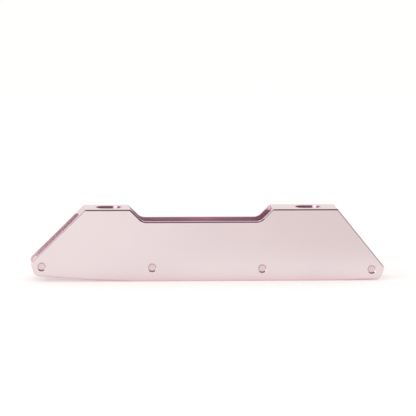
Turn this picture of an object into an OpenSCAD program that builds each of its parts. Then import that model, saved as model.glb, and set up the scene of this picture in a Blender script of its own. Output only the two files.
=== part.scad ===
// Inline skate frame for four wheels in a row, cut from one bar of aluminium.
// X runs from the toe end (negative) to the heel end, Y across the frame, Z up from the base edge.
// The origin is on the base, half way along the frame and between the two side walls.

/* [Wheels and axles] */
// Diameter of the wheels that the frame takes
wheel_d = 90; // [76:1:90]
// Free space round a wheel where the frame passes over it
wheel_clear = 1.2; // [0.5:0.1:3]
// Distance from one axle to the next
axle_pitch = 92; // [88:0.5:98]
// Height of the front axle above the base
front_axle_h = 12.7; // [10:0.1:14]
// Height of the rear axle above the base
rear_axle_h = 9.3; // [9:0.1:14]

/* [Side walls] */
// Thickness of each side wall
wall = 4; // [3.6:0.1:6]
// Width between the two side walls
channel_w = 26; // [25:0.1:32]
// Height of the walls over the two middle wheels
recess_h = 50; // [42:0.5:54]
// Angle of the slopes that run down into the recess
recess_slope = 45; // [35:1:60]
// Radius at the foot of those slopes
recess_r = 9; // [3:0.5:10]
// Width of the chamfer round the outside of each wall
edge_chamfer = 1; // [0.3:0.05:1.2]

/* [Wall ends] */
// How far the nose reaches ahead of the front axle
nose_reach = 9.2; // [8:0.1:14]
// Height of the nose's foremost corner above the front axle
nose_rise = 2.8; // [1:0.1:7]
// How far the foot of the nose reaches ahead of the front axle
nose_foot = 5.9; // [4:0.1:8]
// How far the bottom edge lies below the front axle
nose_drop = 7.7; // [6.8:0.1:8.5]
// How far the tail reaches behind the rear axle
tail_reach = 11; // [9:0.1:14]
// Height of the tail's rearmost corner above the rear axle
tail_rise = 1.5; // [1:0.1:7]
// How far the foot of the tail reaches behind the rear axle
tail_foot = 7.2; // [5:0.1:10]
// How far the bottom edge lies below the rear axle
tail_drop = 8.3; // [6.8:0.1:8.5]
// Radius of the upper corners of the nose and the tail
end_r = 3.5; // [2:0.1:4]
// Radius of their lower corners
foot_r = 6; // [2:0.1:7]
// How far ahead of the middle the base starts to rise
flat_front = 63; // [50:1:90]
// How far ahead of the middle it starts to rise faster
rise_front = 101; // [92:1:120]
// Height of the base edge there
rise_front_h = 1.6; // [0.8:0.1:2]
// How far behind the middle the base starts to rise
flat_rear = 107; // [60:1:120]

/* [Boot platforms] */
// Height of both platforms above the base
platform_h = 60.2; // [58:0.1:70]
// Thickness of the platforms
platform_t = 5; // [4:0.1:8]
// Distance between the two slots for the boot bolts
slot_pitch = 167; // [160:0.5:175]
// How far the middle of the two slots lies behind the middle of the frame
slot_shift = 1.1; // [0:0.1:6]
// Length of each slot, end to end, below its countersink
slot_l = 19.2; // [16:0.1:22]
// Width of each slot, below its countersink
slot_w = 12.4; // [8:0.1:15]
// Width of the countersink round the top of each slot
slot_chamfer = 2; // [0.5:0.1:3]
// Front platform ahead of its slot's centre
front_ahead = 20.5; // [18:0.5:26]
// Front platform behind its slot's centre
front_behind = 17; // [15:0.5:19]
// Rear platform ahead of its slot's centre
rear_ahead = 30.8; // [24:0.1:34]
// Rear platform behind its slot's centre
rear_behind = 23.3; // [18:0.1:28]
// Radius of the corners where the platforms meet the slopes
platform_r = 2; // [1.8:0.1:4]
// Radius inside, where a platform meets the side walls
under_r = 3; // [1:0.5:5]
// Radius of the corners of the opening between the platforms, seen from above
opening_r = 4.5; // [2:0.5:6]

/* [Cross web] */
// Height of the web's lower edge above the axles
web_low = 20; // [16:0.5:24]
// Height of the web's upper edge above the axles
web_high = 29; // [26:0.5:32]

/* [Axle bolts] */
// Diameter of an axle's shaft, as the bearings' bore
shaft_d = 8; // [7:0.1:9]
// Diameter of an axle's threaded tip
tip_d = 6; // [5:0.1:6.4]
// Pitch of the thread on the tip
thread_pitch = 1; // [0.7:0.05:1.25]
// Depth of the thread
thread_depth = 0.4; // [0.3:0.05:0.6]
// Length of the plain point beyond the thread
point_l = 0.5; // [0.3:0.1:1]
// Share of the pitch that the flat crest of the thread takes
crest_share = 0.2; // [0.1:0.05:0.4]
// Length of the plain neck between shoulder and thread
relief_l = 0.4; // [0.2:0.1:1]
// Diameter of an axle's head
head_d = 11; // [10:0.1:12.5]
// Thickness of an axle's head
head_t = 2.2; // [1.5:0.1:2.4]
// Width across the flats of the socket in the head
socket_af = 4; // [3:0.5:5]
// Depth of the socket
socket_depth = 3.4; // [2:0.1:5]
// How deep the head lies below the outer face
sunk = 0.4; // [0.2:0.05:0.8]
// How deep the point lies below the other outer face
point_sunk = 0.9; // [0.2:0.05:1.2]
// Chamfer on the head and on the shoulder
axle_chamfer = 0.4; // [0.2:0.05:0.6]
// Diameter of the shallow dish in the end of the point
centre_d = 2.8; // [1:0.1:3.2]
// Depth of that dish
centre_depth = 0.25; // [0.1:0.05:0.5]
// Radial clearance of a shaft or a tip in its hole
running_gap = 0.05; // [0.02:0.01:0.1]
// Radial clearance of the head in its counterbore
head_gap = 0.3; // [0.3:0.05:0.6]
// Height of the bosses that space the bearings from the walls
boss_t = 0.7; // [0.4:0.1:1.2]
// Diameter of those bosses
boss_d = 13; // [11:0.5:14]
// End play between an axle's shoulder and the boss
shoulder_gap = 0.2; // [0.1:0.05:0.4]

/* [Thread inserts] */
// Wall of the threaded insert round the tip
insert_wall = 0.5; // [0.4:0.05:0.8]
// Glue line round an insert or a pellet
glue_gap = 0.02; // [0.01:0.01:0.05]
// Width of the countersink round the point
countersink = 1.1; // [0.6:0.05:1.2]
// Thickness of the wall between that countersink and the insert
insert_cover = 0.4; // [0.3:0.05:0.6]
// Diameter of the locking pellet in the tip's thread
pellet_d = 2; // [1.5:0.1:2.4]
// Depth of the pellet's hole
pellet_depth = 1.4; // [0.8:0.1:1.8]

/* [Hidden] */
$fn = 96;

// Margin by which a cut runs past the face that it opens
past = 0.5;
// Share of its radius by which a corner's arc stands outside the edges that it joins
arc_proud = 0.005;
axle_count = 4;
frame_w = channel_w + 2 * wall;
half_w = frame_w / 2;
half_channel = channel_w / 2;
wheelbase = (axle_count - 1) * axle_pitch;
// How far the middle of the wheelbase lies ahead of the frame's middle
axle_shift = (tail_reach - nose_reach) / 2;
wheel_room_r = wheel_d / 2 + wheel_clear;
wheel_room_steps = 240;

// Axle places, from the front to the rear, as [x, z]
axles = [for (i = [0 : axle_count - 1]) [
    i * axle_pitch - wheelbase / 2 - axle_shift,
    front_axle_h + (rear_axle_h - front_axle_h) * i / (axle_count - 1)
]];
front = axles[0];
rear = axles[axle_count - 1];
middle = (axles[1] + axles[2]) / 2;

// Slots and platforms along X
front_slot_x = slot_shift - slot_pitch / 2;
rear_slot_x = slot_shift + slot_pitch / 2;
recess_run = (platform_h - recess_h) / tan(recess_slope);
front_pad = [front_slot_x - front_ahead, front_slot_x + front_behind];
rear_pad = [rear_slot_x - rear_ahead, rear_slot_x + rear_behind];
under_h = platform_h - platform_t;
// Each platform's run along X: square at the opening between the two, and out past the slope at the other end
outer_run = 2 * (platform_t + under_r);
front_run = [front_pad[0] - outer_run, front_pad[1]];
rear_run = [rear_pad[0], rear_pad[1] + outer_run];

// Corners of a side wall, counter-clockwise from the rear platform, as [x, z, radius]
corners = [
    [rear_pad[1], platform_h, platform_r],
    [rear_pad[0], platform_h, platform_r],
    [rear_pad[0] - recess_run, recess_h, recess_r],
    [front_pad[1] + recess_run, recess_h, recess_r],
    [front_pad[1], platform_h, platform_r],
    [front_pad[0], platform_h, platform_r],
    [front[0] - nose_reach, front[1] + nose_rise, end_r],
    [front[0] - nose_foot, front[1] - nose_drop, foot_r],
    [-rise_front, rise_front_h, 0],
    [-flat_front, 0, 0],
    [flat_rear, 0, 0],
    [rear[0] + tail_foot, rear[1] - tail_drop, foot_r],
    [rear[0] + tail_reach, rear[1] + tail_rise, end_r]
];
corner_count = len(corners);

// Axle bolt along Y, from the head's outer end to the tip's end
head_top = half_w - sunk;
head_seat = head_top - head_t;
shoulder_y = -half_channel + boss_t + shoulder_gap;
tip_end = -half_w + point_sunk;
root_r = tip_d / 2 - thread_depth;
point_bore_r = root_r + running_gap;
tip_bore_r = tip_d / 2 + running_gap;
insert_r = tip_bore_r + insert_wall;
insert_top = half_w - countersink - insert_cover;
insert_l = insert_top - half_channel + boss_t;
thread_top = shoulder_y - relief_l;
thread_turns = floor((thread_top - tip_end - point_l) / thread_pitch);
crest_start = (1 - crest_share) / 2;
pellet_z = thread_top - thread_turns * thread_pitch / 2;

// Corner geometry of the outline: an arc stands a hair outside both edges, so that it crosses them cleanly
function spot(i) = let (c = corners[(i + corner_count) % corner_count]) [c[0], c[1]];
function radius(i) = corners[(i + corner_count) % corner_count][2];
function is_round(i) = radius(i) > 0;
function unit(v) = v / norm(v);
function back_dir(i) = unit(spot(i - 1) - spot(i));
function ahead_dir(i) = unit(spot(i + 1) - spot(i));
function corner_angle(i) = acos(back_dir(i) * ahead_dir(i));
function arc_inset(i) = radius(i) * (1 - arc_proud);
function foot_l(i) = arc_inset(i) / tan(corner_angle(i) / 2);
function foot_back(i) = spot(i) + back_dir(i) * foot_l(i);
function foot_ahead(i) = spot(i) + ahead_dir(i) * foot_l(i);
function arc_centre(i) =
    spot(i) + unit(back_dir(i) + ahead_dir(i)) * arc_inset(i) / sin(corner_angle(i) / 2);
function is_convex(i) = cross(spot(i) - spot(i - 1), spot(i + 1) - spot(i)) > 0;
function heading(v) = atan2(v[1], v[0]);

// What rounding takes off an outer corner, or adds in an inner one: the part of a wedge past the arc
module corner_piece(i) {
    centre = arc_centre(i);
    difference() {
        polygon([
            centre,
            foot_back(i) + unit(foot_back(i) - centre) * past,
            spot(i) + unit(spot(i) - centre) * 2 * past,
            foot_ahead(i) + unit(foot_ahead(i) - centre) * past
        ]);
        translate(centre)
            circle(r = radius(i));
    }
}

// Outline of a side wall, X to the right and Z up the page
module wall_outline() {
    difference() {
        union() {
            polygon([for (c = corners) [c[0], c[1]]]);
            for (i = [0 : corner_count - 1])
                if (is_round(i) && !is_convex(i))
                    corner_piece(i);
        }
        for (i = [0 : corner_count - 1])
            if (is_round(i) && is_convex(i))
                corner_piece(i);
    }
}

// Stands a flat shape up in the frame's side view, with its thickness centred on Y
module upright(thickness) {
    rotate([90, 0, 0])
        linear_extrude(height = thickness, center = true)
            children();
}

// Section of the chamfer cut, with the outward direction on X and the wall's outer face at Y = 0
module chamfer_section() {
    polygon([
        [-edge_chamfer - past, past],
        [past, -edge_chamfer - past],
        [past, past]
    ]);
}

// Chamfer cut along the straight edge that follows corner i: past an outer corner, up to an inner arc
module straight_chamfer(i) {
    from = is_convex(i) ? spot(i) - ahead_dir(i) * past : foot_ahead(i);
    to = is_convex(i + 1) ? spot(i + 1) + ahead_dir(i) * past : foot_back(i + 1);
    translate([from[0], from[1], half_w])
        rotate([0, 0, heading(to - from)])
            rotate([90, 0, 90])
                linear_extrude(height = norm(to - from))
                    mirror([1, 0])
                        chamfer_section();
}

// Chamfer cut round corner i: a sector round an outer corner, a full cone in an inner one
module round_chamfer(i) {
    centre = arc_centre(i);
    translate([centre[0], centre[1], half_w])
        if (is_convex(i))
            rotate([0, 0, heading(foot_back(i) - centre)])
                rotate_extrude(angle = 180 - corner_angle(i))
                    translate([radius(i), 0])
                        chamfer_section();
        else
            translate([0, 0, -edge_chamfer - past])
                cylinder(
                    r1 = radius(i) - past,
                    r2 = radius(i) + edge_chamfer + past,
                    h = edge_chamfer + 2 * past
                );
}

// Chamfer cuts on the outer faces of both walls
module edge_cuts() {
    for (side = [0, 1])
        mirror([0, side, 0])
            rotate([90, 0, 0])
                for (i = [0 : corner_count - 1]) {
                    straight_chamfer(i);
                    if (is_round(i))
                        round_chamfer(i);
                }
}

// What is left of a square corner at the origin once it has been cut with a round tool
module corner_rest(r) {
    difference() {
        translate([-r, -r])
            square(r + past);
        translate([-r, -r])
            circle(r = r);
    }
}

// Side view of one platform
module platform_band(run) {
    translate([run[0], under_h])
        square([run[1] - run[0], platform_t + 2 * past]);
}

// Rounded corners left under a platform, where it meets the side walls
module under_corners(run) {
    for (side = [0, 1])
        mirror([0, side, 0])
            translate([run[0], half_channel, under_h])
                rotate([90, 0, 90])
                    linear_extrude(height = run[1] - run[0])
                        corner_rest(under_r);
}

// Rounded corners left at both ends of the opening between the platforms
module opening_corners() {
    for (side = [0, 1])
        mirror([0, side, 0]) {
            translate([rear_pad[0], half_channel, under_h])
                linear_extrude(height = platform_t + 2 * past)
                    corner_rest(opening_r);
            translate([front_pad[1], half_channel, under_h])
                linear_extrude(height = platform_t + 2 * past)
                    mirror([1, 0])
                        corner_rest(opening_r);
        }
}

// The space between the side walls, under the platforms and past the cross web
module channel() {
    difference() {
        upright(channel_w)
            difference() {
                translate([-wheelbase, -past])
                    square([2 * wheelbase, platform_h + 2 * past]);
                platform_band(front_run);
                platform_band(rear_run);
                translate([axles[1][0], middle[1] + web_low])
                    square([axle_pitch, web_high - web_low]);
            }
        under_corners(front_run);
        under_corners(rear_run);
        opening_corners();
    }
    upright(channel_w)
        for (a = axles)
            translate(a)
                circle(r = wheel_room_r, $fn = wheel_room_steps);
}

// Places its children at an axle, with the axle's axis along their own Z, head end up
module at_axle(i) {
    translate([axles[i][0], 0, axles[i][1]])
        rotate([-90, 0, 0])
            children();
}

// Bosses on the inner faces of the walls, which the bearings run against
module bosses() {
    for (i = [0 : axle_count - 1])
        for (side = [0, 1])
            at_axle(i)
                mirror([0, 0, side])
                    translate([0, 0, half_channel - boss_t])
                        cylinder(d1 = boss_d - 2 * boss_t, d2 = boss_d, h = boss_t);
}

// Holes for one axle: threaded end in the wall at negative Y, head end in the other
module axle_holes() {
    translate([0, 0, head_seat])
        cylinder(r = head_d / 2 + head_gap, h = head_top - head_seat + sunk + past);
    cylinder(r = shaft_d / 2 + running_gap, h = half_w);
    translate([0, 0, -insert_top - glue_gap])
        cylinder(r = insert_r + glue_gap, h = insert_top);
    translate([0, 0, -half_w - past])
        cylinder(r = point_bore_r, h = half_w);
    translate([0, 0, -half_w - past])
        cylinder(r1 = point_bore_r + countersink + past, r2 = point_bore_r, h = countersink + past);
}

// Slot for a boot bolt through a platform, centred at x
module boot_slot(x) {
    straight = slot_l - slot_w;
    translate([x, 0, 0]) {
        translate([0, 0, under_h - past])
            linear_extrude(height = platform_t + 2 * past) {
                square([straight, slot_w], center = true);
                for (end = [-1, 1])
                    translate([end * straight / 2, 0])
                        circle(d = slot_w);
            }
        for (end = [-1, 1])
            translate([end * straight / 2, 0, platform_h - slot_chamfer])
                cylinder(
                    d1 = slot_w,
                    d2 = slot_w + 2 * (slot_chamfer + past),
                    h = slot_chamfer + past
                );
        rotate([90, 0, 90])
            linear_extrude(height = straight, center = true)
                polygon([
                    [-slot_w / 2, platform_h - slot_chamfer],
                    [slot_w / 2, platform_h - slot_chamfer],
                    [slot_w / 2 + slot_chamfer + past, platform_h + past],
                    [-slot_w / 2 - slot_chamfer - past, platform_h + past]
                ]);
    }
}

// One-piece body: two side walls, two boot platforms and a cross web
module frame_body() {
    color("pink")
        difference() {
            union() {
                difference() {
                    upright(frame_w)
                        wall_outline();
                    channel();
                }
                bosses();
            }
            edge_cuts();
            boot_slot(front_slot_x);
            boot_slot(rear_slot_x);
            for (i = [0 : axle_count - 1])
                at_axle(i)
                    axle_holes();
        }
}

// Half section of an axle bolt, radius to the right and the head up the page
module axle_section() {
    head_r = head_d / 2;
    shaft_r = shaft_d / 2;
    tip_r = tip_d / 2;
    polygon(concat(
        [
            [0, head_top],
            [head_r - axle_chamfer, head_top],
            [head_r, head_top - axle_chamfer],
            [head_r, head_seat],
            [shaft_r, head_seat],
            [shaft_r, shoulder_y + axle_chamfer],
            [shaft_r - axle_chamfer, shoulder_y],
            [root_r, shoulder_y]
        ],
        [for (k = [0 : thread_turns - 1]) each [
            [root_r, thread_top - k * thread_pitch],
            [tip_r, thread_top - (k + crest_start) * thread_pitch],
            [tip_r, thread_top - (k + crest_start + crest_share) * thread_pitch]
        ]],
        [
            [root_r, thread_top - thread_turns * thread_pitch],
            [root_r, tip_end],
            [0, tip_end]
        ]
    ));
}

// Axle bolt number i, with its socket, the dish in its point and the pellet's hole
module axle(i) {
    color("silver")
        at_axle(i)
            difference() {
                rotate_extrude()
                    axle_section();
                translate([0, 0, head_top - socket_depth])
                    cylinder(d = socket_af / cos(30), h = socket_depth + past, $fn = 6);
                translate([0, 0, tip_end - past])
                    cylinder(
                        d1 = centre_d + 2 * past,
                        d2 = centre_d - 2 * centre_depth,
                        h = centre_depth + past
                    );
                pellet_shape(pellet_d, tip_d / 2 + past);
            }
}

// Round plug in the side of the tip, reaching out to radius top
module pellet_shape(d, top) {
    translate([0, -tip_d / 2 + pellet_depth, pellet_z])
        rotate([90, 0, 0])
            cylinder(d = d, h = top - tip_d / 2 + pellet_depth);
}

// Threaded steel insert for axle i, glued into the wall at negative Y
module thread_insert(i) {
    color("lightgray")
        at_axle(i)
            translate([0, 0, -insert_top])
                difference() {
                    cylinder(r = insert_r, h = insert_l);
                    translate([0, 0, -past])
                        cylinder(r = tip_bore_r, h = insert_l + 2 * past);
                }
}

// Nylon locking pellet in the thread of axle i
module lock_pellet(i) {
    color("royalblue")
        at_axle(i)
            intersection() {
                pellet_shape(pellet_d - 2 * glue_gap, tip_d / 2 + past);
                translate([0, 0, tip_end])
                    cylinder(d = tip_d, h = shoulder_y - tip_end);
            }
}

frame_body();
axle(0);  // front_axle
axle(1);  // second_axle
axle(2);  // third_axle
axle(3);  // rear_axle
thread_insert(0);  // front_thread_insert
thread_insert(1);  // second_thread_insert
thread_insert(2);  // third_thread_insert
thread_insert(3);  // rear_thread_insert
lock_pellet(0);  // front_lock_pellet
lock_pellet(1);  // second_lock_pellet
lock_pellet(2);  // third_lock_pellet
lock_pellet(3);  // rear_lock_pellet
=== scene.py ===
import math

import bmesh
import bpy
from mathutils import Matrix, Vector


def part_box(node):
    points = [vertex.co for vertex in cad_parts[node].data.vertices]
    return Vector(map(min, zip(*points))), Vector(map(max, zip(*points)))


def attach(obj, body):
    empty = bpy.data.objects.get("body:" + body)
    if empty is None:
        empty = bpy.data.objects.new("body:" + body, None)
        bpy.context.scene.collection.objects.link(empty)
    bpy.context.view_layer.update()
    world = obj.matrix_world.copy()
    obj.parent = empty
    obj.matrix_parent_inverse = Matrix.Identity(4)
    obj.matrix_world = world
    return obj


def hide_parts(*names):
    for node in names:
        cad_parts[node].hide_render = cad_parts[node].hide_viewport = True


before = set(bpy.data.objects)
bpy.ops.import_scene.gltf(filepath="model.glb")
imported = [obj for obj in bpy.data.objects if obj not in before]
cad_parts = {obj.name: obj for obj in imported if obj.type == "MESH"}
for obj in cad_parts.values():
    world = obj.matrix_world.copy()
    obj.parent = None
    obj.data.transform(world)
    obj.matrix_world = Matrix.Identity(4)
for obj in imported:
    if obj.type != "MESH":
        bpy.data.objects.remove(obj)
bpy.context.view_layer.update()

MM = 0.001


def add_object(name, data):
    thing = bpy.data.objects.new(name, data)
    bpy.context.scene.collection.objects.link(thing)
    return thing


# Camera, as the photograph was taken
CAMERA_AIM = Vector((0.54, 0.0, 59.28)) * MM
CAMERA_AZIMUTH = math.radians(-4.231)
CAMERA_ELEVATION = math.radians(7.556)
CAMERA_ROLL = math.radians(0.367)
CAMERA_DISTANCE = 2500.0 * MM
CAMERA_LENS = 258.5
SENSOR_WIDTH = 36.0
CLIP_NEAR = 0.05
CLIP_FAR = 100.0


def add_camera():
    data = bpy.data.cameras.new("camera")
    data.lens = CAMERA_LENS
    data.sensor_width = SENSOR_WIDTH
    data.clip_start = CLIP_NEAR
    data.clip_end = CLIP_FAR
    camera = add_object("camera", data)
    level = math.cos(CAMERA_ELEVATION)
    back = Vector((
        math.sin(CAMERA_AZIMUTH) * level,
        -math.cos(CAMERA_AZIMUTH) * level,
        math.sin(CAMERA_ELEVATION),
    ))
    right = Vector((math.cos(CAMERA_AZIMUTH), math.sin(CAMERA_AZIMUTH), 0.0))
    up = back.cross(right)
    rolled_right = right * math.cos(CAMERA_ROLL) + up * math.sin(CAMERA_ROLL)
    rolled_up = up * math.cos(CAMERA_ROLL) - right * math.sin(CAMERA_ROLL)
    turn = Matrix((rolled_right, rolled_up, back)).transposed()
    place = Matrix.Translation(CAMERA_AIM + back * CAMERA_DISTANCE)
    camera.matrix_world = place @ turn.to_4x4()
    bpy.context.scene.camera = camera


BEVEL_SAMPLES = 6
# Places of a Mix node's factor and colours among its inputs, and of its colour among its outputs
MIX_FACTOR = 0
MIX_A = 6
MIX_B = 7
MIX_RESULT = 2


class Nodes:
    """Short calls for building one node tree. A span is a pair, from low to high."""

    def __init__(self, tree):
        self.tree = tree
        self.tree.nodes.clear()

    def add(self, kind, inputs=None, **settings):
        node = self.tree.nodes.new(kind)
        for name, value in settings.items():
            setattr(node, name, value)
        for name, value in (inputs or {}).items():
            socket = node.inputs[name]
            if isinstance(value, bpy.types.NodeSocket):
                self.tree.links.new(value, socket)
            else:
                socket.default_value = value
        return node

    def math(self, operation, a, b=0.0):
        return self.add("ShaderNodeMath", {0: a, 1: b}, operation=operation).outputs[0]

    def product(self, first, *others):
        for other in others:
            first = self.math("MULTIPLY", first, other)
        return first

    # The base, and as much of the amount as the mask lets through
    def plus(self, base, mask, amount):
        return self.math("ADD", base, self.math("MULTIPLY", mask, amount))

    def ramp(self, value, span, out=(0.0, 1.0), smooth=True):
        inputs = {
            "Value": value,
            "From Min": span[0],
            "From Max": span[1],
            "To Min": out[0],
            "To Max": out[1],
        }
        kind = "SMOOTHSTEP" if smooth else "LINEAR"
        return self.add("ShaderNodeMapRange", inputs, interpolation_type=kind).outputs["Result"]

    def fall(self, value, span):
        return self.ramp(value, span, (1.0, 0.0))

    def mix(self, factor, a, b):
        inputs = {MIX_FACTOR: factor, MIX_A: a, MIX_B: b}
        return self.add("ShaderNodeMix", inputs, data_type="RGBA").outputs[MIX_RESULT]

    def split(self, vector):
        node = self.add("ShaderNodeSeparateXYZ", {"Vector": vector})
        return node.outputs["X"], node.outputs["Y"], node.outputs["Z"]

    def noise(self, vector, scale, detail, roughness=0.5):
        inputs = {"Vector": vector, "Scale": scale, "Detail": detail, "Roughness": roughness}
        return self.add("ShaderNodeTexNoise", inputs).outputs["Fac"]

    def stretch(self, vector, scale):
        return self.add("ShaderNodeMapping", {"Vector": vector, "Scale": scale}).outputs["Vector"]

    def bump(self, height, strength, distance, normal=None):
        inputs = {"Height": height, "Strength": strength, "Distance": distance}
        if normal is not None:
            inputs["Normal"] = normal
        return self.add("ShaderNodeBump", inputs).outputs["Normal"]

    def eased_edges(self, radius):
        node = self.add("ShaderNodeBevel", {"Radius": radius}, samples=BEVEL_SAMPLES)
        return node.outputs["Normal"]


def rgb(red, green, blue):
    return (red, green, blue, 1.0)


def new_material(name):
    material = bpy.data.materials.new(name)
    material.use_nodes = True
    return material, Nodes(material.node_tree)


def surface(nodes, shader):
    nodes.add("ShaderNodeOutputMaterial", {"Surface": shader})


def shade(nodes, inputs):
    surface(nodes, nodes.add("ShaderNodeBsdfPrincipled", inputs).outputs["BSDF"])


# Dye of the body: two shades that cloud into each other and the drawn lines; then painted shade inside
# the channel, easing off towards its open front as painted light, and deeper painted shade in the slots
DYE_LOW = rgb(0.870, 0.714, 0.744)
DYE_HIGH = rgb(0.890, 0.737, 0.764)
DYE_DRAWN = rgb(0.80, 0.645, 0.69)
PAINTED_LIGHT_CHANNEL_FRONT = rgb(0.88, 0.72, 0.79)
PAINTED_SHADE_CHANNEL = rgb(0.82, 0.585, 0.695)
PAINTED_SHADE_SLOT = rgb(0.88, 0.54, 0.67)
WORN_METAL = rgb(0.90, 0.88, 0.87)
WORN_SHARE = 0.35
DRAWN_SHARE = 0.06
# Tint of the body where it is seen at a grazing angle
EDGE_TINT = rgb(0.95, 0.91, 0.90)

# Where those places begin and end on the body, in metres off the middle, along it or above the base
CHANNEL_SIDE = (0.0129, 0.0134)
CHANNEL_FRONT = (-0.085, -0.065)
PLATFORM_TOP = (0.05995, 0.06015)
SLOT_SIDE = (0.0083, 0.0088)
SLOT_FOOT = (0.0550, 0.0553)
# How far a chamfer faces across the frame, and how far off that still counts as one
CHAMFER_FACING = 0.7071
CHAMFER_SPREAD = (0.05, 0.2)

# Detail of the smoother and of the finer noises
SOFT_DETAIL = 2.0
FINE_DETAIL = 3.0

# Noise on the body: the drawn lines run along X, and the cutter's marks stand across the channel
CLOUD_SCALE = 22.0
GRAIN_SCALE = 2600.0
DRAWN_STRETCH = (14.0, 900.0, 900.0)
CUTTER_STRETCH = (900.0, 1.0, 40.0)
NICK_SCALE = 520.0
NICK_DETAIL = 4.0
NICK_ROUGHNESS = 0.65
# Parts of a noise's range over which something changes: its middle for most, its peaks for the nicks
MIDDLE = (0.3, 0.7)
GRAIN_SPAN = (0.25, 0.75)
DRAWN_DYE_SPAN = (0.35, 0.75)
DRAWN_ROUGH_SPAN = (0.3, 0.8)
NICK_SPAN = (0.60, 0.72)

# Roughness of the body, and what each place adds to it
BODY_ROUGH = (0.13, 0.19)
DRAWN_ROUGH = (-0.01, 0.02)
CHAMFER_ROUGH = -0.05
CHANNEL_ROUGH = 0.14
SLOT_ROUGH = -0.08

# Relief of the body: the strength and the depth of each kind, and the radius of its eased edges
GRAIN_BUMP = 0.05
GRAIN_DEPTH = 0.05 * MM
DRAWN_BUMP = 0.02
DRAWN_DEPTH = 0.2 * MM
CUTTER_BUMP = 0.08
CUTTER_DEPTH = 0.2 * MM
BODY_EDGE_R = 0.2 * MM


# Bright anodised aluminium: faint lines along the bar, cutter marks inside, worn and eased edges. Painted
# shade deepens the channel and, more, the slots; it eases off towards the channel's open front as painted
# light.
def body_material():
    material, n = new_material("pink_anodised")
    place = n.add("ShaderNodeTexCoord")
    spot = place.outputs["Object"]
    facing_across = n.math("ABSOLUTE", n.split(place.outputs["Normal"])[1])
    off_chamfer = n.math("ABSOLUTE", n.math("SUBTRACT", facing_across, CHAMFER_FACING))
    chamfer = n.fall(off_chamfer, CHAMFER_SPREAD)
    x, y, z = n.split(spot)
    off_middle = n.math("ABSOLUTE", y)
    inside = n.product(n.fall(off_middle, CHANNEL_SIDE), n.fall(z, PLATFORM_TOP))
    slot = n.product(n.fall(off_middle, SLOT_SIDE), n.ramp(z, SLOT_FOOT), inside)

    cloud = n.noise(spot, CLOUD_SCALE, FINE_DETAIL)
    grain = n.noise(spot, GRAIN_SCALE, SOFT_DETAIL)
    drawn = n.noise(n.stretch(spot, DRAWN_STRETCH), 1.0, FINE_DETAIL)
    cutter = n.noise(n.stretch(spot, CUTTER_STRETCH), 1.0, SOFT_DETAIL)
    nicks = n.noise(spot, NICK_SCALE, NICK_DETAIL, NICK_ROUGHNESS)

    colour = n.mix(n.ramp(cloud, MIDDLE), DYE_LOW, DYE_HIGH)
    colour = n.mix(n.ramp(drawn, DRAWN_DYE_SPAN, (0.0, DRAWN_SHARE)), colour, DYE_DRAWN)
    # Painted shade: the channel's inside turns a deeper pink, and paler towards the open front as painted
    # light coming in there
    colour = n.mix(inside, colour, n.mix(n.ramp(x, CHANNEL_FRONT), PAINTED_LIGHT_CHANNEL_FRONT, PAINTED_SHADE_CHANNEL))
    # Painted shade: the slots turn a deeper pink still
    colour = n.mix(slot, colour, PAINTED_SHADE_SLOT)
    worn = n.product(chamfer, n.ramp(nicks, NICK_SPAN), WORN_SHARE)
    colour = n.mix(worn, colour, WORN_METAL)

    rough = n.ramp(grain, GRAIN_SPAN, BODY_ROUGH)
    rough = n.math("ADD", rough, n.ramp(drawn, DRAWN_ROUGH_SPAN, DRAWN_ROUGH))
    rough = n.plus(rough, chamfer, CHAMFER_ROUGH)
    rough = n.plus(rough, inside, CHANNEL_ROUGH)
    rough = n.plus(rough, slot, SLOT_ROUGH)

    normal = n.eased_edges(BODY_EDGE_R)
    normal = n.bump(grain, GRAIN_BUMP, GRAIN_DEPTH, normal)
    normal = n.bump(drawn, DRAWN_BUMP, DRAWN_DEPTH, normal)
    normal = n.bump(cutter, n.math("MULTIPLY", inside, CUTTER_BUMP), CUTTER_DEPTH, normal)
    shade(n, {
        "Base Color": colour,
        "Roughness": rough,
        "Normal": normal,
        "Metallic": 1.0,
        "Specular Tint": EDGE_TINT,
    })
    return material


TURNED_SCALE = 5200.0
TURNED_CLOUD_SCALE = 260.0
TURNED_BUMP = 0.10
TURNED_DEPTH = 0.04 * MM
TURNED_EDGE_R = 0.08 * MM


# Turned metal: fine rings round the axis, which is the object's own Y
def turned_material(name, colour_low, colour_high, rough):
    material, n = new_material(name)
    spot = n.add("ShaderNodeTexCoord").outputs["Object"]
    x, y, z = n.split(spot)
    off_axis = n.add("ShaderNodeCombineXYZ", {"X": x, "Y": z}).outputs["Vector"]
    length = n.add("ShaderNodeVectorMath", {0: off_axis}, operation="LENGTH")
    section = n.add("ShaderNodeCombineXYZ", {"X": length.outputs["Value"], "Y": y})
    turned = n.noise(section.outputs["Vector"], TURNED_SCALE, SOFT_DETAIL)
    cloud = n.noise(spot, TURNED_CLOUD_SCALE, FINE_DETAIL)
    eased = n.eased_edges(TURNED_EDGE_R)
    shade(n, {
        "Base Color": n.mix(n.ramp(cloud, MIDDLE), colour_low, colour_high),
        "Roughness": n.ramp(turned, MIDDLE, rough),
        "Normal": n.bump(turned, TURNED_BUMP, TURNED_DEPTH, eased),
        "Metallic": 1.0,
    })
    return material


NYLON_LOW = rgb(0.035, 0.10, 0.42)
NYLON_HIGH = rgb(0.055, 0.14, 0.52)
NYLON_ROUGH = (0.42, 0.58)
NYLON_SCALE = 1500.0
NYLON_BUMP = 0.15
NYLON_DEPTH = 0.05 * MM
NYLON_IOR = 1.53


# Matt nylon
def nylon_material():
    material, n = new_material("blue_nylon")
    spot = n.add("ShaderNodeTexCoord").outputs["Object"]
    mottle = n.noise(spot, NYLON_SCALE, FINE_DETAIL)
    shade(n, {
        "Base Color": n.mix(n.ramp(mottle, MIDDLE), NYLON_LOW, NYLON_HIGH),
        "Roughness": n.ramp(mottle, MIDDLE, NYLON_ROUGH),
        "Normal": n.bump(mottle, NYLON_BUMP, NYLON_DEPTH),
        "IOR": NYLON_IOR,
    })
    return material
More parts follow.
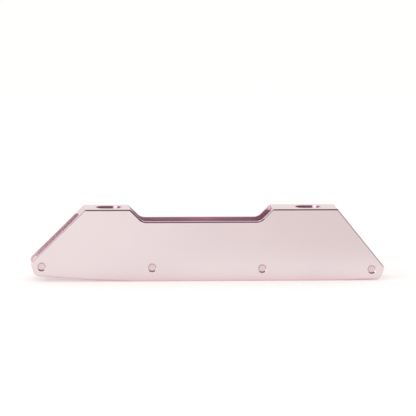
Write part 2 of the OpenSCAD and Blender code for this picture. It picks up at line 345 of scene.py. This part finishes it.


# Floor: a pale surface that takes the shadow, with a glow that makes it white for the camera. The glow's
# pink tint, against a slightly cyan floor tone, is painted pink bounce light in the shadow.
FLOOR_HALF = 14.0
FLOOR_LOW = rgb(0.89, 0.925, 0.91)
FLOOR_HIGH = rgb(0.91, 0.945, 0.93)
FLOOR_TONE_SCALE = 3.0
CAMERA_GLOW = 0.395
PAINTED_PINK_GLOW_TINT = rgb(1.0, 0.83, 0.82)

# What the metal sees of it: plain in the open; off to the right darker, as painted shade; beside the
# frame pinker, as painted reflection of pink bounce light and shadow; below the channel a painted glow,
# brightest under the front, that lights the channel's inside
MIRROR_OPEN = rgb(0.26, 0.27, 0.25)
MIRRORED_SHADE_RIGHT = rgb(0.14, 0.11, 0.10)
MIRRORED_PINK_BESIDE = rgb(0.31, 0.20, 0.21)
MIRRORED_GLOW_UNDER_FRONT = rgb(1.0, 1.0, 1.0)
MIRRORED_GLOW_UNDER_CHANNEL = rgb(0.30, 0.27, 0.29)
# Where those begin and end, in metres along the frame and off its middle
RIGHT_ALONG = (-0.10, 0.16)
RIGHT_OFF = (0.06, 0.22)
BESIDE_OFF = (0.02, 0.06)
BELOW_FRONT = (-0.105, -0.075)
BELOW_ALONG = (0.132, 0.146)
BELOW_OFF = (0.012, 0.016)
# That glow shows only to mirror rays with fewer diffuse bounces than this
DIFFUSE_LIMIT = 0.5


def mirrored_floor(n, spot):
    x, y = n.split(spot)[:2]
    off = n.math("ABSOLUTE", y)
    # Painted shade to the right, painted pink reflection beside the frame, and a painted glow under the
    # channel, brightest under the front
    right = n.product(n.ramp(x, RIGHT_ALONG), n.ramp(off, RIGHT_OFF))
    colour = n.mix(right, MIRROR_OPEN, MIRRORED_SHADE_RIGHT)
    colour = n.mix(n.fall(off, BESIDE_OFF), colour, MIRRORED_PINK_BESIDE)
    below = n.mix(n.ramp(x, BELOW_FRONT), MIRRORED_GLOW_UNDER_FRONT, MIRRORED_GLOW_UNDER_CHANNEL)
    along = n.math("ABSOLUTE", x)
    covered = n.product(n.fall(off, BELOW_OFF), n.fall(along, BELOW_ALONG))
    return n.mix(covered, colour, below)


def add_floor():
    mesh = bpy.data.meshes.new("floor")
    corners = [(-1, -1), (1, -1), (1, 1), (-1, 1)]
    points = [(x * FLOOR_HALF, y * FLOOR_HALF, 0.0) for x, y in corners]
    mesh.from_pydata(points, [], [(0, 1, 2, 3)])
    floor = add_object("floor", mesh)
    material, n = new_material("white_floor")
    spot = n.add("ShaderNodeTexCoord").outputs["Object"]
    tone = n.mix(n.noise(spot, FLOOR_TONE_SCALE, SOFT_DETAIL), FLOOR_LOW, FLOOR_HIGH)
    diffuse = n.add("ShaderNodeBsdfDiffuse", {"Color": tone}).outputs["BSDF"]
    path = n.add("ShaderNodeLightPath").outputs
    glow = n.math("MULTIPLY", path["Is Camera Ray"], CAMERA_GLOW)
    # Painted light: the glow's pink tint shows in the floor's shadow as pink light bounced off the frame
    seen = n.add("ShaderNodeEmission", {"Color": PAINTED_PINK_GLOW_TINT, "Strength": glow})
    first = n.math("LESS_THAN", path["Diffuse Depth"], DIFFUSE_LIMIT)
    shine = n.math("MULTIPLY", path["Is Glossy Ray"], first)
    mirrored = n.add("ShaderNodeEmission", {"Color": mirrored_floor(n, spot), "Strength": shine})
    lit = n.add("ShaderNodeAddShader", {0: diffuse, 1: seen.outputs["Emission"]}).outputs["Shader"]
    lit = n.add("ShaderNodeAddShader", {0: lit, 1: mirrored.outputs["Emission"]}).outputs["Shader"]
    # From below the floor is clear, so that a view from there shows the object
    below = n.add("ShaderNodeNewGeometry").outputs["Backfacing"]
    clear = n.add("ShaderNodeBsdfTransparent").outputs["BSDF"]
    surface(n, n.add("ShaderNodeMixShader", {0: below, 1: lit, 2: clear}).outputs["Shader"])
    mesh.materials.append(material)


# Studio in the metal: white walls, higher on the left, a dark ceiling with a strip, a dark right side
WALL = rgb(1.0, 1.0, 1.0)
CEILING = rgb(0.19, 0.135, 0.138)
DARK_SIDE = rgb(0.06, 0.03, 0.038)
STRIP = rgb(1.9, 1.9, 1.9)
# What lights matt surfaces, and what the camera sees
SOFT = rgb(0.72, 0.72, 0.72)
BACKDROP = rgb(1.0, 1.0, 1.0)
# Strength of the studio in the metal, from its left end to its right end
SIDE_STRENGTH = (1.08, 0.84)
# Where the studio's parts begin and end, as parts of a direction of length 1
CEILING_HEIGHT = (0.31, 0.62)
WALL_TILT = 0.25
DARK_X = (0.35, 0.6)
DARK_Y = (-0.03, 0.03)
DARK_Z = (0.48, 0.57)
STRIP_LEFT = (-0.60, -0.30)
STRIP_RIGHT = (-0.11, -0.04)
STRIP_Y = (-0.125, -0.10)
STRIP_Z = (0.80, 0.88)


def add_world():
    world = bpy.data.worlds.new("studio")
    bpy.context.scene.world = world
    world.use_nodes = True
    n = Nodes(world.node_tree)
    x, y, z = n.split(n.add("ShaderNodeTexCoord").outputs["Generated"])
    left = n.math("MINIMUM", x, 0.0)
    height = n.plus(z, left, WALL_TILT)
    studio = n.mix(n.ramp(height, CEILING_HEIGHT), WALL, CEILING)
    dark = n.product(n.ramp(x, DARK_X), n.ramp(z, DARK_Z), n.fall(y, DARK_Y))
    studio = n.mix(dark, studio, DARK_SIDE)
    strip = n.product(n.ramp(left, STRIP_LEFT), n.fall(x, STRIP_RIGHT))
    strip = n.product(strip, n.ramp(z, STRIP_Z), n.ramp(y, STRIP_Y))
    studio = n.mix(strip, studio, STRIP)
    path = n.add("ShaderNodeLightPath").outputs
    colour = n.mix(path["Is Glossy Ray"], SOFT, studio)
    colour = n.mix(path["Is Camera Ray"], colour, BACKDROP)
    side = n.ramp(x, (-1.0, 1.0), SIDE_STRENGTH, smooth=False)
    strength = n.ramp(path["Is Glossy Ray"], (0.0, 1.0), (1.0, side), smooth=False)
    background = n.add("ShaderNodeBackground", {"Color": colour, "Strength": strength})
    n.add("ShaderNodeOutputWorld", {"Surface": background.outputs["Background"]})


KEY_PLACE = Vector((-1.4, -0.9, 1.1))
KEY_AIM = Vector((0.0, 0.0, 0.03))
KEY_SIZE = 1.0
KEY_POWER = 4.0


def add_key_lamp():
    data = bpy.data.lights.new("key", "AREA")
    data.shape = "DISK"
    data.size = KEY_SIZE
    data.energy = KEY_POWER
    lamp = add_object("key", data)
    lamp.location = KEY_PLACE
    lamp.rotation_mode = "QUATERNION"
    lamp.rotation_quaternion = (KEY_AIM - KEY_PLACE).to_track_quat("-Z", "Y")


# Turned pieces are rows of points round their own Y axis, joined into one skin. Sizes are in millimetres.
STEPS = 96
SHARP = math.radians(28.0)


def angles(count):
    return [2.0 * math.pi * step / count for step in range(count)]


# A radius is a number, or a function of the angle
def ring(y, radius):
    points = []
    for angle in angles(STEPS):
        r = radius(angle) if callable(radius) else radius
        points.append((r * math.cos(angle), y, r * math.sin(angle)))
    return points


def pole(y, z=0.0):
    return [(0.0, y, z)]


# Joins each row to the next, and a closed skin's last row to its first. A pole is a row of one point.
def skin(name, rows, material, closed=False):
    shape = bmesh.new()
    rows = [[shape.verts.new(Vector(point) * MM) for point in row] for row in rows]
    pairs = list(zip(rows, rows[1:]))
    if closed:
        pairs.append((rows[-1], rows[0]))
    for low, high in pairs:
        count = max(len(low), len(high))
        for step in range(count):
            after = (step + 1) % count
            if len(low) == 1:
                shape.faces.new((low[0], high[step], high[after]))
            elif len(high) == 1:
                shape.faces.new((low[step], high[0], low[after]))
            else:
                shape.faces.new((low[step], high[step], high[after], low[after]))
    bmesh.ops.recalc_face_normals(shape, faces=shape.faces)
    mesh = bpy.data.meshes.new(name)
    shape.to_mesh(mesh)
    shape.free()
    mesh.shade_smooth()
    mesh.set_sharp_from_angle(angle=SHARP)
    mesh.materials.append(material)
    return add_object(name, mesh)


def hexagon(across_flats):
    sixth = math.pi / 3.0

    def radius(angle):
        return across_flats / 2.0 / math.cos((angle + sixth / 2.0) % sixth - sixth / 2.0)
    return radius


# Shares of a thread's rise that the flat root and then the flank take, up to the flat crest
ROOT_FLAT = 0.12
FLANK = 0.70
THREAD_RINGS = 36


# Height of a screw thread's flank, from 0 in the root to 1 on the crest
def thread_shape(turn):
    rise = 1.0 - abs(2.0 * (turn % 1.0) - 1.0)
    return min(1.0, max(0.0, (rise - ROOT_FLAT) / FLANK))


def helix(y, pitch, low, high):
    def radius(angle):
        return low + (high - low) * thread_shape(y / pitch + angle / (2.0 * math.pi))
    return radius


# Sizes of the axle bolts, the inserts and the pellets, as in the solids
HEAD_TOP = 16.6
HEAD_SEAT = 14.4
HEAD_R = 5.5
SHAFT_R = 4.0
SHOULDER = -12.1
NECK_END = -12.5
TIP_END = -16.1
TIP_R = 3.0
ROOT_R = 2.6
THREAD_END = -15.5
PITCH = 1.0
CHAMFER = 0.4
SOCKET_AF = 4.0
SOCKET_END = 13.2
DISH_R = 1.4
DISH_DEPTH = 0.25
INSERT_R = 3.55
INSERT_BORE = 3.05
INSERT_OUTER = -15.5
INSERT_INNER = -12.3
PELLET_R = 0.98
PELLET_Y = -14.0
PELLET_FOOT = 1.6

# Finer detail than the solids have: eased edges, a drilled socket with a wide mouth, a rounded head
EASE = 0.1
DRILL_DEPTH = 0.9
DRILL_R = 1.7
SOCKET_FLOOR = SOCKET_END + 0.05
SOCKET_FLOOR_R = 1.98
MOUTH_DEPTH = 0.28
MOUTH_R = 2.55
FACE_R = 4.3
ROUND_DROP = 0.12
ROUND_INSET = 0.18
SHAFT_LEAD = 0.2
SHAFT_RINGS = 8
DISH_FLOOR_R = 1.15
# The axle's thread comes up and dies away over a sixth of its length
THREAD_FADE = 6.0


def axle_rows():
    socket = hexagon(SOCKET_AF)
    profile = [
        (SOCKET_END, DRILL_R),
        (SOCKET_FLOOR, SOCKET_FLOOR_R),
        (SOCKET_FLOOR, socket),
        (HEAD_TOP - MOUTH_DEPTH, socket),
        (HEAD_TOP, MOUTH_R),
        (HEAD_TOP, FACE_R),
        (HEAD_TOP, HEAD_R - CHAMFER),
        (HEAD_TOP - ROUND_DROP, HEAD_R - ROUND_INSET),
        (HEAD_TOP - CHAMFER, HEAD_R),
        (HEAD_SEAT + EASE, HEAD_R),
        (HEAD_SEAT, HEAD_R - EASE),
        (HEAD_SEAT, SHAFT_R),
    ]
    start = HEAD_SEAT - SHAFT_LEAD
    end = SHOULDER + CHAMFER
    for step in range(SHAFT_RINGS + 1):
        profile.append((start + (end - start) * step / SHAFT_RINGS, SHAFT_R))
    profile += [(SHOULDER, SHAFT_R - CHAMFER), (SHOULDER, ROOT_R), (NECK_END, ROOT_R)]
    for step in range(1, THREAD_RINGS):
        share = step / THREAD_RINGS
        y = NECK_END + (THREAD_END - NECK_END) * share
        fade = min(1.0, THREAD_FADE * share, THREAD_FADE * (1.0 - share))
        profile.append((y, helix(y, PITCH, ROOT_R, ROOT_R + fade * (TIP_R - ROOT_R))))
    profile += [
        (THREAD_END, ROOT_R),
        (TIP_END + EASE, ROOT_R),
        (TIP_END, ROOT_R - EASE),
        (TIP_END, DISH_R),
        (TIP_END + DISH_DEPTH, DISH_FLOOR_R),
    ]
    rows = [ring(y, radius) for y, radius in profile]
    return [pole(SOCKET_END - DRILL_DEPTH)] + rows + [pole(TIP_END + DISH_DEPTH)]


# Grooves that hold an insert in its glue, and the thread and the two mouths of its bore
GROOVES = 4
GROOVE_START = 0.6
GROOVE_STEP = 0.65
GROOVE_DEPTH = 0.12
GROOVE_FLOOR = (0.1, 0.3)
GROOVE_END = 0.4
INSERT_THREAD_DEPTH = 0.22
INNER_MOUTH = 0.12
OUTER_MOUTH = 0.15
INNER_LEAD = 0.2
OUTER_LEAD = 0.3


def insert_rows():
    profile = [(INSERT_OUTER, INSERT_R - EASE), (INSERT_OUTER + EASE, INSERT_R)]
    for groove in range(GROOVES):
        y = INSERT_OUTER + GROOVE_START + groove * GROOVE_STEP
        profile.append((y, INSERT_R))
        profile += [(y + floor, INSERT_R - GROOVE_DEPTH) for floor in GROOVE_FLOOR]
        profile.append((y + GROOVE_END, INSERT_R))
    profile += [
        (INSERT_INNER - EASE, INSERT_R),
        (INSERT_INNER, INSERT_R - EASE),
        (INSERT_INNER, INSERT_BORE + INNER_MOUTH),
        (INSERT_INNER - INNER_MOUTH, INSERT_BORE),
    ]
    start = INSERT_INNER - INNER_LEAD
    end = INSERT_OUTER + OUTER_LEAD
    for step in range(THREAD_RINGS + 1):
        y = start + (end - start) * step / THREAD_RINGS
        profile.append((y, helix(y, PITCH, INSERT_BORE, INSERT_BORE + INSERT_THREAD_DEPTH)))
    profile += [(INSERT_OUTER + OUTER_MOUTH, INSERT_BORE), (INSERT_OUTER, INSERT_BORE + OUTER_MOUTH)]
    return [ring(y, radius) for y, radius in profile]


PELLET_STEPS = 40
# The pellet ends this far below the crest of the thread
PELLET_SUNK = 0.02
PELLET_CREST = TIP_R - PELLET_SUNK
# Share of the pellet's height and of its radius, from the foot up
PELLET_LEVELS = [(0.0, 0.9), (0.06, 1.0), (0.74, 1.0), (0.88, 0.93), (0.96, 0.72), (0.985, 0.40)]


# A plug set in the side of the thread, its free end domed to the thread's crest
def pellet_rows():
    rows = [pole(PELLET_Y, PELLET_FOOT)]
    for share, spread in PELLET_LEVELS:
        z = PELLET_FOOT + share * (PELLET_CREST - PELLET_FOOT)
        row = []
        for angle in angles(PELLET_STEPS):
            x = PELLET_R * spread * math.cos(angle)
            y = PELLET_Y + PELLET_R * spread * math.sin(angle)
            top = math.sqrt(PELLET_CREST * PELLET_CREST - x * x)
            row.append((x, y, min(z, top)))
        rows.append(row)
    return rows + [pole(PELLET_Y, PELLET_CREST)]


AXLE_LOW = rgb(0.815, 0.645, 0.68)
AXLE_HIGH = rgb(0.84, 0.675, 0.705)
AXLE_ROUGH = (0.16, 0.24)
# Steel grey with a pink tint; the tint is a painted reflection of the pink body round the insert
STEEL_LOW = rgb(0.70, 0.64, 0.65)
STEEL_HIGH = rgb(0.74, 0.68, 0.69)
STEEL_ROUGH = (0.22, 0.32)


def stand_for(piece, node, place, body):
    piece.location = place
    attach(piece, body)
    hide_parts(node)


def add_axle_sets():
    axle = turned_material("turned_axle", AXLE_LOW, AXLE_HIGH, AXLE_ROUGH)
    insert = turned_material("steel_insert", STEEL_LOW, STEEL_HIGH, STEEL_ROUGH)
    pellet = nylon_material()
    for place in ("front", "second", "third", "rear"):
        low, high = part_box(place + "_axle")
        centre = ((low[0] + high[0]) / 2.0, 0.0, (low[2] + high[2]) / 2.0)
        bolt = place + "_axle_bolt"
        piece = skin(place + "_axle_turned", axle_rows(), axle)
        stand_for(piece, place + "_axle", centre, bolt)
        piece = skin(place + "_insert_turned", insert_rows(), insert, closed=True)
        stand_for(piece, place + "_thread_insert", centre, "frame")
        piece = skin(place + "_pellet_pressed", pellet_rows(), pellet)
        stand_for(piece, place + "_lock_pellet", centre, bolt)


def dress_body():
    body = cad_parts["frame_body"]
    body.data.materials.clear()
    body.data.materials.append(body_material())


# Light crosses the narrow channel many times before it comes out
BOUNCES = 32

add_camera()
add_floor()
add_world()
add_key_lamp()
dress_body()
add_axle_sets()
bpy.context.scene.view_settings.view_transform = "Standard"
bpy.context.scene.cycles.max_bounces = BOUNCES
bpy.context.scene.cycles.glossy_bounces = BOUNCES
